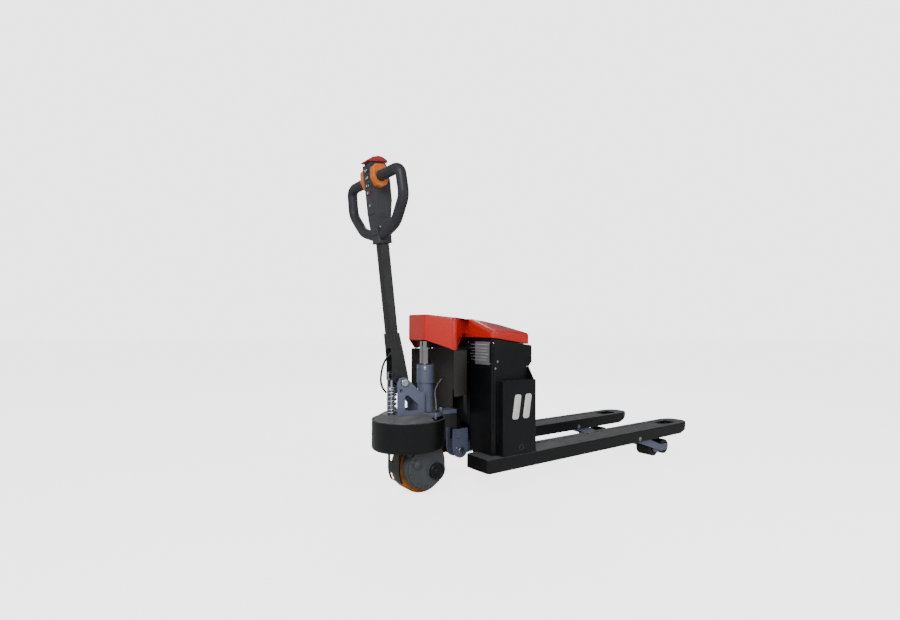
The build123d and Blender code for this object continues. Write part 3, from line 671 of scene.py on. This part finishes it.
# ---------------------------------------------------------------- the studio
@dataclass
class Studio:
    """Camera, floor and soft light."""

    eye: Point = (-1074.1, -1830.5, 655.5)
    yaw: float = 52.1
    pitch: float = 0.9
    roll: float = 0.2
    lens: float = 20.74
    shift: tuple[float, float] = (-0.0416, 0.0109)
    backdrop: float = 3.2
    fill: float = 0.42

    def camera(self) -> None:
        """Places the camera."""
        yaw, pitch, roll = (math.radians(v) for v in (self.yaw, self.pitch, self.roll))
        look = Vector((math.cos(yaw) * math.cos(pitch), math.sin(yaw) * math.cos(pitch),
                       math.sin(pitch)))
        side = look.cross(Vector((0, 0, 1))).normalized()
        top = side.cross(look)
        side, top = (side * math.cos(roll) + top * math.sin(roll),
                     top * math.cos(roll) - side * math.sin(roll))
        data = bpy.data.cameras.new("studio_camera")
        data.sensor_width = 36.0
        data.lens = self.lens
        data.shift_x, data.shift_y = self.shift
        data.clip_start, data.clip_end = 0.05, 60.0
        obj = bpy.data.objects.new("studio_camera", data)
        turn = Matrix((side, top, -look)).transposed().to_4x4()
        obj.matrix_world = Matrix.Translation(at(*self.eye)) @ turn
        bpy.context.scene.collection.objects.link(obj)
        bpy.context.scene.camera = obj

    def floor(self) -> None:
        """Lays a pale floor that meets the surround without a visible edge."""
        shape = bmesh.new()
        for x, y in ((-30, -30), (30, -30), (30, 30), (-30, 30)):
            shape.verts.new((x, y, -0.0008))
        shape.faces.new(shape.verts)
        obj = to_object("studio_floor", shape)
        mat = bpy.data.materials.new("painted_floor_pale")
        mat.use_nodes = True
        tree = mat.node_tree
        tree.nodes.clear()
        matt = add_node(tree, "ShaderNodeBsdfDiffuse", {"Color": linear("#E6E6E6")})
        glow = add_node(tree, "ShaderNodeEmission", {
            "Color": (1, 1, 1, 1), "Strength": self.backdrop - self.fill * 0.9})
        both = add_node(tree, "ShaderNodeAddShader", {0: matt.outputs[0], 1: glow.outputs[0]})
        seen = add_node(tree, "ShaderNodeLightPath").outputs["Is Camera Ray"]
        mix = add_node(tree, "ShaderNodeMixShader", {
            0: seen, 1: matt.outputs[0], 2: both.outputs[0]})
        add_node(tree, "ShaderNodeOutputMaterial", {0: mix.outputs[0]})
        obj.data.materials.append(mat)

    def lights(self) -> None:
        """Adds the soft boxes and the surround: even to look at, graded as a light."""
        world = bpy.data.worlds.new("studio_surround")
        world.use_nodes = True
        tree = world.node_tree
        tree.nodes.clear()
        way = add_node(tree, "ShaderNodeTexCoord").outputs["Generated"]
        parts = add_node(tree, "ShaderNodeSeparateXYZ", {0: way})
        grade = add_node(tree, "ShaderNodeMapRange", {
            "Value": parts.outputs[0], "From Min": -1.0, "From Max": 0.7,
            "To Min": self.fill * 1.5, "To Max": self.fill * 0.35})
        lit = add_node(tree, "ShaderNodeBackground", {
            "Color": (1, 1, 1, 1), "Strength": grade.outputs[0]})
        plain = add_node(tree, "ShaderNodeBackground", {
            "Color": (1, 1, 1, 1), "Strength": self.backdrop})
        seen = add_node(tree, "ShaderNodeLightPath").outputs["Is Camera Ray"]
        mix = add_node(tree, "ShaderNodeMixShader", {
            0: seen, 1: lit.outputs[0], 2: plain.outputs[0]})
        add_node(tree, "ShaderNodeOutputWorld", {0: mix.outputs[0]})
        bpy.context.scene.world = world
        self.soft_box("key_light", (-2400, -2400, 2600), 1.6, 85)
        self.soft_box("side_light", (1500, -2800, 1400), 1.2, 16)
        self.soft_box("back_light", (1600, 2400, 2600), 1.6, 30)

    def soft_box(self, name: str, place: Point, size: float, power: float) -> None:
        """Adds one soft box that faces the truck."""
        data = bpy.data.lights.new(name, "AREA")
        data.size = size
        data.energy = power
        obj = bpy.data.objects.new(name, data)
        obj.location = at(*place)
        aim = at(300, 0, 450) - obj.location
        obj.rotation_euler = aim.to_track_quat("-Z", "Y").to_euler()
        bpy.context.scene.collection.objects.link(obj)

    def build(self) -> None:
        """Builds the whole studio."""
        self.camera()
        self.floor()
        self.lights()


# ---------------------------------------------------------------- sub-assemblies
@dataclass
class Assembly:
    """What every sub-assembly shares: its paint box and its way to add pieces."""

    paint: Paintbox
    body: str = ""

    def add(self, name: str, shape: bmesh.types.BMesh, finish: Finish, slot: str,
            body: str = "", replaces: Sequence[str] = ()) -> bpy.types.Object:
        """Adds one mesh piece.

        Args:
            name: Piece name.
            shape: Its mesh, in metres in the shared frame.
            finish: Its finish.
            slot: Name of a material slot; not used.
            body: CAD body it rides on, if not the assembly's own.
            replaces: CAD nodes it stands for.

        Returns:
            The new object.
        """
        obj = to_object(name, shape)
        return self.settle(obj, finish, slot, body, replaces)

    def settle(self, obj: bpy.types.Object, finish: Finish, slot: str, body: str = "",
               replaces: Sequence[str] = ()) -> bpy.types.Object:
        """Dresses a finished object and makes it ride on its body."""
        self.paint.dress(obj, finish)
        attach(obj, body or self.body)
        if replaces:
            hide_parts(*replaces)
        LOG.info("piece %s rides on %s", obj.name, body or self.body)
        return obj


@dataclass
class Cover(Assembly):
    """The red hood over the box and its nose over the column."""

    half: float = 226.0
    front: float = 203.0
    back: float = 402.0
    flat: float = 62.0
    corner: float = 18.0
    wall: float = 3.5

    def nose_outline(self) -> Outline:
        """Returns the nose in plan: blunt front, two lobes and a narrow neck."""
        bends = ((-13, -63, 20), (62, -152, 22), (82, -150, 9), (187, -46, 30), (236, -46, 2),
                 (236, 46, 2), (187, 46, 30), (82, 150, 9), (62, 152, 22), (-13, 63, 20))
        pts = [(x, y) for x, y, _ in bends]
        return rounded_each(pts, [r for _, _, r in bends], 8)

    def nose_low(self, x: float) -> float:
        """Returns the height of the nose's lower edge at x."""
        return ramp(x, ((-40, 613), (30, 598), (60, 571), (68, 567), (80, 567), (86, 573),
                        (110, 628), (116, 631), (240, 631)))

    def nose_top(self, x: float, y: float) -> float:
        """Returns the height of the nose's roof."""
        ridge = ramp(x, ((-60, 716), (60, 711), (240, 688)))
        return min(709.0, ridge) - max(0.0, abs(y) - 63) * 0.146

    def nose(self) -> bmesh.types.BMesh:
        """Builds the nose as a thin shell with a rounded upper rim."""
        plan = self.nose_outline()
        inner = shrink(plan, self.wall)
        rings = [[at(x, y, self.nose_top(x, y) - 8) for x, y in inner]]
        rings.append([at(x, y, self.nose_low(x) + 0.4) for x, y in inner])
        rings.append([at(x, y, self.nose_low(x)) for x, y in shrink(plan, 0.8)])
        rings.append([at(x, y, self.nose_low(x) + 0.8) for x, y in plan])
        for step in range(6):
            a = math.pi / 2 * step / 5
            ring = shrink(plan, 6 * (1 - math.cos(a)))
            rings.append([at(x, y, self.nose_top(x, y) - 6 * (1 - math.sin(a)))
                          for x, y in ring])
        return stack(rings)

    def section(self, x: float, gap: float) -> list[Vector]:
        """Returns one cross-section of the hood at x, drawn in by gap."""
        t = (x - self.front) / (self.back - self.front)
        low, eave, ridge = 617 - 28 * t, 643 - 8 * t - gap, 697 - 33 * t - gap
        half = self.half - gap
        pts = [(-half, low), (half, low), (half, eave), (self.flat, ridge),
               (-self.flat, ridge), (-half, eave)]
        ring = rounded_each(pts, [1.0, 1.0, 9.0, 40.0, 40.0, 9.0], 6)
        return [at(x, y, z) for y, z in ring]

    def hood(self) -> bmesh.types.BMesh:
        """Builds the pitched hood with rounded upright corners."""
        r = self.corner
        turns = [math.pi / 2 * k / 7 for k in range(8)]
        rings = [self.section(self.front + r * (1 - math.cos(a)), r * (1 - math.sin(a)))
                 for a in turns]
        run = self.back - self.front - 2 * r
        rings += [self.section(self.front + r + run * k / 12, 0) for k in range(1, 12)]
        rings += [self.section(self.back - r * (1 - math.cos(a)), r * (1 - math.sin(a)))
                  for a in reversed(turns)]
        return stack(rings)

    def inlay(self) -> None:
        """Adds the grey inlay on the flat of the roof, with its ribs."""
        def place(u: float, v: float, w: float) -> Vector:
            """Maps a place on the outline and a height to the shared frame."""
            return at(u, v, 697 - 33 * (u - self.front) / 199 + w)

        plan = rounded([(274, -52), (392, -52), (392, 52), (274, 52)], 9)
        self.add("hood_inlay", slab(plan, 0.2, 2.4, place, 0.8), GREY_INLAY, "grey_panel",
                 replaces=("cover_panel",))
        ribs = []
        for k in range(6):
            x = 288 + 18 * k
            rib = rounded([(x, -40), (x + 7, -40), (x + 7, 40), (x, 40)], 3)
            ribs.append(slab(rib, 2.0, 3.6, place, 0.6))
        self.add("hood_inlay_ribs", merged(*ribs), GREY_INLAY, "grey_panel")

    def build(self) -> None:
        """Builds the cover and its trim."""
        shape = merged(self.hood(), self.nose())
        self.add("cover_shell", shape, RED_ABS, "red_cover", replaces=("top_cover",))
        self.inlay()


@dataclass
class Body(Assembly):
    """Box, cheeks, shield and forks: plate marks, screws and welds."""

    def bars(self) -> None:
        """Adds a plain two-bar mark in white film on each cheek."""
        for side, tag in ((-1, "right"), (1, "left")):
            for k, x in enumerate((268, 324)):
                lean = 16
                corners = [(x, 292), (x + 34, 292), (x + 34 + lean, 390), (x + lean, 390)]
                plan = rounded(corners, 12)

                def place(u: float, v: float, w: float, s: int = side) -> Vector:
                    return at(u, s * w, v)

                self.add(f"{tag}_cheek_bar_{k + 1}", slab(plan, 267.6, 268.35, place, 0.2),
                         WHITE_FILM, "plate")

    def plate(self) -> None:
        """Adds the blank plate's faint rules and rivets."""
        x = 199.8

        def place(u: float, v: float, w: float) -> Vector:
            """Maps a place on the outline and a height to the shared frame."""
            return at(-w, u, v)

        for k, z in enumerate((588, 574, 562, 550, 538, 526)):
            width = 58 if k == 0 else 62 - 6 * (k % 3)
            plan = [(-137 - width, z - 1), (-137 + width, z - 1), (-137 + width, z + 1),
                    (-137 - width, z + 1)]
            self.add(f"plate_rule_{k + 1}", slab(plan, -x - 0.1, -x + 0.3, place, 0.1),
                     KEY_PRINT, "plate")
        spots = [(-64, 513), (-64, 597), (-210, 513), (-210, 597)]
        rivets = [lathe([(3.2, 0), (3.0, 0.8), (1.8, 1.6), (0.3, 1.9)], at(x - 0.1, y, z),
                        Vector((-1, 0, 0)), 16) for y, z in spots]
        self.add("plate_rivets", merged(*rivets), ZINC, "zinc_spring")

    def screws(self) -> None:
        """Adds the screws of the box and the plugs of the cheeks."""
        heads = []
        for side in (-1, 1):
            axis = Vector((0, side, 0))
            for x, z in ((222, 522), (211, 495), (378, 497)):
                heads.append(socket_head(at(x, side * 230, z), axis, 4.2, 4))
        self.add("box_screws", merged(*heads), ZINC, "zinc_spring")
        plugs = [lathe([(13, 0), (13, 1.2), (11.5, 2.4), (8.5, 2.4), (7.5, 0.6), (0.4, 0.4)],
                       at(316, side * 267.9, 178), Vector((0, side, 0)), 32)
                 for side in (-1, 1)]
        self.add("cheek_plugs", merged(*plugs), CASE_PP, "battery_plastic")

    def welds(self) -> None:
        """Adds weld beads where cheeks and box meet the forks."""
        runs = []
        for side in (-1, 1):
            runs.append(bead([at(224, side * 267.5, 152.4), at(400, side * 267.5, 152.4)], 2.6))
            runs.append(bead([at(223.6, side * 232, 152), at(223.6, side * 266, 152)], 2.6))
            runs.append(bead([at(401, side * 128, 152), at(401, side * 266, 152)], 2.6))
            runs.append(bead([at(200.6, side * 128, 152), at(200.6, side * 226, 152)], 2.6))
            runs.append(bead([at(223.8, side * 231, 200), at(223.8, side * 231, 440)], 1.6))
        self.add("chassis_welds", merged(*runs), BLACK_COAT, "black_paint")

    def fork_trim(self) -> None:
        """Adds the raised lips along each fork's channel and across its end."""
        for side, tag in ((-1, "right"), (1, "left")):
            runs = []
            for edge in (-47.5, 47.5):
                y = side * 200 + edge
                runs.append(bead([at(432, y, 151.6), at(1450, y, 151.6)], 1.6))
            runs.append(bead([at(1453.5, side * 200 - 46, 151.6),
                              at(1453.5, side * 200 + 46, 151.6)], 1.6))
            self.add(f"{tag}_fork_lips", merged(*runs), FORK_COAT, "black_paint")

    def build(self) -> None:
        """Builds every trim piece of the chassis."""
        self.bars()
        self.plate()
        self.screws()
        self.welds()
        self.fork_trim()


@dataclass
class DriveUnit(Assembly):
    """Cylinder, bracket, skirt and gear case details."""

    def cylinder_rings(self) -> None:
        """Adds the wiper, the gland groove and the weld at the cylinder's foot."""
        up = Vector((0, 0, 1))
        wiper = lathe([(35, 507), (30, 509.5), (24.6, 510.5), (24.6, 507)], at(AXIS_X, 0, 0),
                      up, 48)
        self.add("rod_wiper", wiper, BLACK_PVC, "cable_black")
        rings = []
        for z, r in ((433, 35.8), (437, 36.2), (376, 32.3)):
            rings.append(lathe([(r - 1.2, z - 1.4), (r + 0.5, z - 0.6), (r + 0.5, z + 0.6),
                                (r - 1.2, z + 1.4)], at(AXIS_X, 0, 0), up, 48))
        self.add("cylinder_rings", merged(*rings), GREY_PAINT, "grey_paint")
        plug = socket_head(at(AXIS_X - 36, -4, 497), Vector((-1, 0, 0)), 5, 3)
        port = hex_head(at(AXIS_X - 20, -30, 492), Vector((-0.55, -0.83, 0)), 11, 6)
        self.add("cylinder_ports", merged(plug, port), ZINC, "zinc_spring")

    def bracket_bolts(self) -> None:
        """Adds the hinge pin's caps and the bracket's welds."""
        caps = []
        for side in (-1, 1):
            caps.append(lathe([(15, 0), (15, 3), (13, 5), (5, 5.6), (4, 4.4), (0.4, 4.3)],
                              at(-92, side * 51.8, 443), Vector((0, side, 0)), 32))
        self.add("hinge_caps", merged(*caps), ZINC, "zinc_spring")
        runs = []
        for side in (-1, 1):
            runs.append(bead([at(1, side * 36.4, 322), at(1, side * 36.4, 398)], 2.4))
            runs.append(bead([at(-116, side * 47.3, 318), at(-4, side * 47.3, 318)], 2.0))
        self.add("bracket_welds", merged(*runs), GREY_PAINT, "grey_paint")

    def gear_case(self) -> None:
        """Adds the gear case's bolts, boss and cap detail."""
        near = Vector((0, -1, 0))
        heads = []
        for angle in (70, 112, 154, 196, 238, 268):
            a = math.radians(angle)
            heads.append(hex_head(at(GEAR_X + 73 * math.cos(a), -99.8, GEAR_Z + 73 * math.sin(a)),
                                  near, 9, 5))
        self.add("gear_case_bolts", merged(*heads), GEAR_CAST, "gear_grey")
        cap = lathe([(31.5, -3), (31.5, 1), (29, 3.4), (23, 4), (21, 2), (13, 2), (11, 5),
                     (6, 6.4), (0.4, 6.6)], at(22, -107.8, 96), near, 48)
        self.add("gear_cap_dome", cap, BLACK_COAT, "black_paint")
        rim = lathe([(35, 0), (36.5, 2.5), (34, 4.5), (31.8, 4.5), (31.8, 0)],
                    at(22, -94.9, 96), near, 48)
        self.add("gear_cap_rim", rim, GEAR_CAST, "gear_grey")
        boss = lathe([(17, 0), (17, 3), (12, 4), (9, 7), (3, 8), (0.4, 8)],
                     at(-61, -98.8, 132), near, 32)
        self.add("gear_case_boss", boss, GEAR_CAST, "gear_grey")
    def skirt(self) -> None:
        """Adds the skirt's rolled rim and the stop pin on top."""
        up = Vector((0, 0, 1))
        rim = lathe([(143.0, 293.0), (144.6, 294.0), (145.0, 295.6), (143.8, 297.6),
                     (141.0, 298.0), (139.5, 297.0)], at(SKIRT_X, 0, 0), up, 96)
        self.add("skirt_rim", rim, SKIRT_TOP, "black_paint")
        pin = lathe([(5, 0), (5, 24), (4, 26), (0.4, 26.4)], at(18, -100, 297), up, 24)
        self.add("skirt_stop_pin", pin, GREY_PAINT, "grey_paint")

    def coil(self) -> None:
        """Replaces the return spring with a coil that has closed, ground ends."""
        turns, low, high, wire, mean = 7.0, 317.2, 419.8, 3.3, 16.0
        count = int(turns * 20)
        points = []
        for k in range(count + 1):
            t = k / count
            lift = t - math.sin(2 * math.pi * t) * 0.055
            a = 2 * math.pi * turns * t
            points.append(at(COIL_X + mean * math.cos(a), mean * math.sin(a),
                             low + wire + (high - low - 2 * wire) * lift))
        obj = as_mesh(smooth_run("return_coil", points, wire))
        self.settle(obj, ZINC, "zinc_spring", replaces=("return_spring",))
        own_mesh(obj)

    def build(self) -> None:
        """Builds every trim piece of the drive unit."""
        self.cylinder_rings()
        self.bracket_bolts()
        self.gear_case()
        self.skirt()
        self.coil()


@dataclass
class Carrier(Assembly):
    """Collar, arm and link plates."""

    def build(self) -> None:
        """Adds the collar's machined ring and the link's bolts."""
        up = Vector((0, 0, 1))
        ring = lathe([(60, 314), (60, 316), (52, 317.5), (40, 317.5), (34, 316), (33, 314)],
                     at(AXIS_X, 0, 0), up, 64)
        self.add("collar_ring", ring, TURNED_STEEL, "bare_steel")
        nut = hex_head(at(93, -20, 321.8), up, 12, 6)
        self.add("collar_nut", nut, ZINC, "zinc_spring")
        heads = []
        for side in (-1, 1):
            axis = Vector((0, side, 0))
            heads.append(lathe([(13.8, 0), (13.8, 1.5), (12, 3), (4, 3.4), (0.4, 3.4)],
                               at(187, side * 34.8, 139), axis, 32))
            heads.append(socket_head(at(172, side * 28.8, 198), axis, 4.2, 3))
            heads.append(socket_head(at(166, side * 28.8, 152), axis, 4.2, 3))
        self.add("link_bolts", merged(*heads), ZINC, "zinc_spring")


@dataclass
class Tiller(Assembly):
    """Head, grips, keys and collar."""

    keys: tuple[float, ...] = (822, 794, 766, 738)
    loop: tuple[tuple[float, float], ...] = (
        (31, 792), (110, 792), (206, 792), (211, 735), (214, 688), (175, 647), (136, 606),
        (84, 590), (31, 576))

    def grips(self) -> None:
        """Replaces the two grip loops with smooth rubber ones."""
        for side, tag in ((1, "left"), (-1, "right")):
            points = [up_tiller(-8, side * y, s) for y, s in self.loop]
            obj = as_mesh(smooth_run(f"{tag}_grip", points, 20.0))
            self.settle(obj, GRIP_RUBBER, "grip_rubber", replaces=(f"{tag}_grip_loop",))

    def seams(self) -> None:
        """Adds the head's side inserts and screws, and the bands of the collar."""
        for side, tag in ((1, "left"), (-1, "right")):
            plan = rounded([(-27, 640), (24, 640), (35, 700), (35, 742), (-27, 742)], 12)

            def place(u: float, v: float, w: float, s: int = side) -> Vector:
                return up_tiller(u, s * w, v)

            self.add(f"{tag}_head_insert", slab(plan, 30.6, 31.8, place, 0.5), HEAD_NYLON,
                     "head_plastic")
            heads = [socket_head(up_tiller(x, side * 31, s), Vector((0, side, 0)), 3.4, 1.6)
                     for x, s in ((-18, 606), (16, 606))]
            self.add(f"{tag}_head_screws", merged(*heads), ZINC, "zinc_spring")
        bands = []
        for s in (548, 571):
            ring = rounded([(-30, -31), (30, -31), (30, 31), (-30, 31)], 8)
            rows = []
            for d, gap in ((-2, 1.0), (-1, 0.0), (1, 0.0), (2, 1.0)):
                rows.append([up_tiller(x, y, s + d) for x, y in shrink(ring, gap)])
            bands.append(stack(rows))
        self.add("collar_bands", merged(*bands), HEAD_NYLON, "head_plastic")

    def key_marks(self) -> None:
        """Adds a plain pale shape on each key and a pilot lamp."""
        face = -38.5
        marks: dict[int, list[Outline]] = {
            0: [[(-12, 4), (-3, -4), (-3, 5)], [(3, -5), (12, -5), (12, 5), (3, 5)]],
            1: [[(-12, -4), (-3, -4), (-3, 5), (-12, 5)], [(3, -4), (12, -4), (7.5, 5)]],
            2: [[(-12, -5), (-3, -5), (-7.5, 5)], [(3, -4), (12, -4), (12, 4), (3, 4)]],
            3: [[(-13, -5), (-2, -5), (-2, 5), (-13, 5)], [(3, -5), (9, -5), (9, 5), (3, 5)]]}
        for key, shapes in marks.items():
            s0 = self.keys[key]
            for k, corners in enumerate(shapes):

                def place(u: float, v: float, w: float, s: float = s0) -> Vector:
                    return up_tiller(w, u, s + v)

                red = key == 3 and k == 0
                self.add(f"key_{key + 1}_mark_{k + 1}",
                         slab(rounded(corners, 1.0, 2), face - 0.4, face + 0.1, place, 0.1),
                         RED_BUTTON if red else KEY_PRINT,
                         "red_plastic" if red else "key_plastic", body=f"button_{key + 1}")
        lamp = lathe([(4.5, 0), (4.2, 1), (2.5, 1.8), (0.3, 2)], up_tiller(-36.4, 0, 690),
                     up_tiller(-37, 0, 690) - up_tiller(-36, 0, 690), 20)
        self.add("pilot_lamp", lamp, KEY_PRINT, "key_plastic")

    def cap(self) -> None:
        """Replaces the safety button with a smoothly crowned cap."""
        plan = rounded_each([(-42, 852), (42, 852), (41, 861), (24, 872), (6, 875.5),
                             (-16, 871), (-42, 857)], [1, 1, 4, 14, 16, 16, 2], 6)

        def place(u: float, v: float, w: float) -> Vector:
            """Maps a place on the outline and a height to the shared frame."""
            return up_tiller(u, w, v)

        self.add("safety_cap", slab(plan, -31, 31, place, 3.0), RED_BUTTON, "red_plastic",
                 body="belly_button", replaces=("belly_button",))

    def wheel_ribs(self) -> None:
        """Adds finger ribs on the rims of the thumb wheels."""
        for side, tag in ((1, "left"), (-1, "right")):
            ribs = [bead([up_tiller(-22, side * y, 838.4), up_tiller(10, side * y, 838.4)], 1.2)
                    for y in (40, 45, 50)]
            self.add(f"{tag}_wheel_ribs", merged(*ribs), ORANGE_ABS, "orange_plastic",
                     body=f"{tag}_thumb")

    def build(self) -> None:
        """Builds the tiller's pieces."""
        self.grips()
        self.seams()
        self.key_marks()
        self.cap()
        self.wheel_ribs()


@dataclass
class Cables(Assembly):
    """The two short cables on the steering column."""

    def build(self) -> None:
        """Builds both cables on the routes of their CAD tubes."""
        route = [(-118, 0, 562), (-148, 8, 536), (-157, 27, 470), (-152, 28, 420),
                 (-131, 28, 400)]
        self.lay("tiller_lead", route, 4.0, BLACK_PVC, "cable_black", "tiller",
                 "tiller_cable")
        route = [(96, 20, 314), (96, 20, 340), (100, 40, 380), (126, 62, 415), (162, 80, 432)]
        self.lay("steering_lead", route, 2.5, WHITE_PVC, "cable_white", "carrier",
                 "white_cable")

    def lay(self, name: str, route: Sequence[Point], radius: float, finish: Finish,
            slot: str, body: str, node: str) -> None:
        """Lays one cable and works out its length."""
        points = [at(*p) for p in route]
        obj = smooth_run(name, points, radius)
        self.settle(obj, finish, slot, body, (node,))
        bare = obj.data.copy()
        bare.bevel_depth = 0.0
        probe = bpy.data.objects.new("probe", bare)
        mesh = bpy.data.meshes.new_from_object(probe)
        line = [v.co for v in mesh.vertices]
        length = sum((b - a).length for a, b in zip(line, line[1:]))
        bpy.data.objects.remove(probe)
        bpy.data.meshes.remove(mesh)


CAD_FINISH: tuple[tuple[Finish, tuple[str, ...]], ...] = (
    (BLACK_COAT, ("left_cheek", "right_cheek", "base_frame", "battery_box", "drive_skirt",
                  "lift_head", "carrier_arm", "wheel_guard", "gearbox_cap")),
    (FORK_COAT, ("left_fork", "right_fork")),
    (SKIRT_TOP, ("pedestal",)),
    (GREY_PAINT, ("carrier_collar", "carrier_link", "lift_cylinder", "tiller_bracket",
                  "rocker_arm", "push_rods", "left_load_arm", "right_load_arm",
                  "left_bogie", "right_bogie")),
    (GEAR_CAST, ("gearbox", "gearbox_cover", "drive_motor")),
    (SHIELD_COAT, ("front_shield",)),
    (RED_ABS, ("top_cover",)),
    (GREY_INLAY, ("cover_panel",)),
    (PLATE, ("data_plate",)),
    (CHROME, ("piston_rod",)),
    (TURNED_STEEL, ("carrier_pin", "fork_pins", "pivot_pin", "wheel_hub", "pump_unit")),
    (ZINC, ("return_spring", "spring_rod")),
    (ORANGE_PU, ("wheel_tyre",)),
    (DARK_PU, ("left_roller_front", "left_roller_rear", "right_roller_front",
               "right_roller_rear")),
    (TILLER_PAINT, ("tiller_tube", "tiller_yoke")),
    (HEAD_NYLON, ("head_body", "control_panel")),
    (GRIP_RUBBER, ("left_grip_loop", "right_grip_loop")),
    (ORANGE_ABS, ("left_thumb_wheel", "right_thumb_wheel", "rear_trim")),
    (RED_BUTTON, ("belly_button",)),
    (KEY_SILICONE, ("panel_button_1", "panel_button_2", "panel_button_3",
                    "panel_button_4")),
    (CASE_PP, ("battery", "controller")),
    (BLACK_PVC, ("tiller_cable",)),
    (WHITE_PVC, ("white_cable",)),
)


def dress_frame(frame: dict, paint: Paintbox) -> None:
    """Gives every CAD node its real finish.

    Args:
        frame: The loaded frame.
        paint: The paint box.
    """
    for finish, names in CAD_FINISH:
        for name in names:
            paint.dress(frame["nodes"][name], finish)
            LOG.info("node %s is %s", name, finish.title)


def main() -> None:
    """Builds the scene in order."""
    logging.basicConfig(level=logging.INFO)
    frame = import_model()
    Studio().build()
    paint = Paintbox()
    dress_frame(frame, paint)
    Cover(paint, "chassis").build()
    Body(paint, "chassis").build()
    DriveUnit(paint, "drive").build()
    Carrier(paint, "carrier").build()
    Tiller(paint, "tiller").build()
    Cables(paint, "drive").build()


if __name__ == "__main__":
    main()
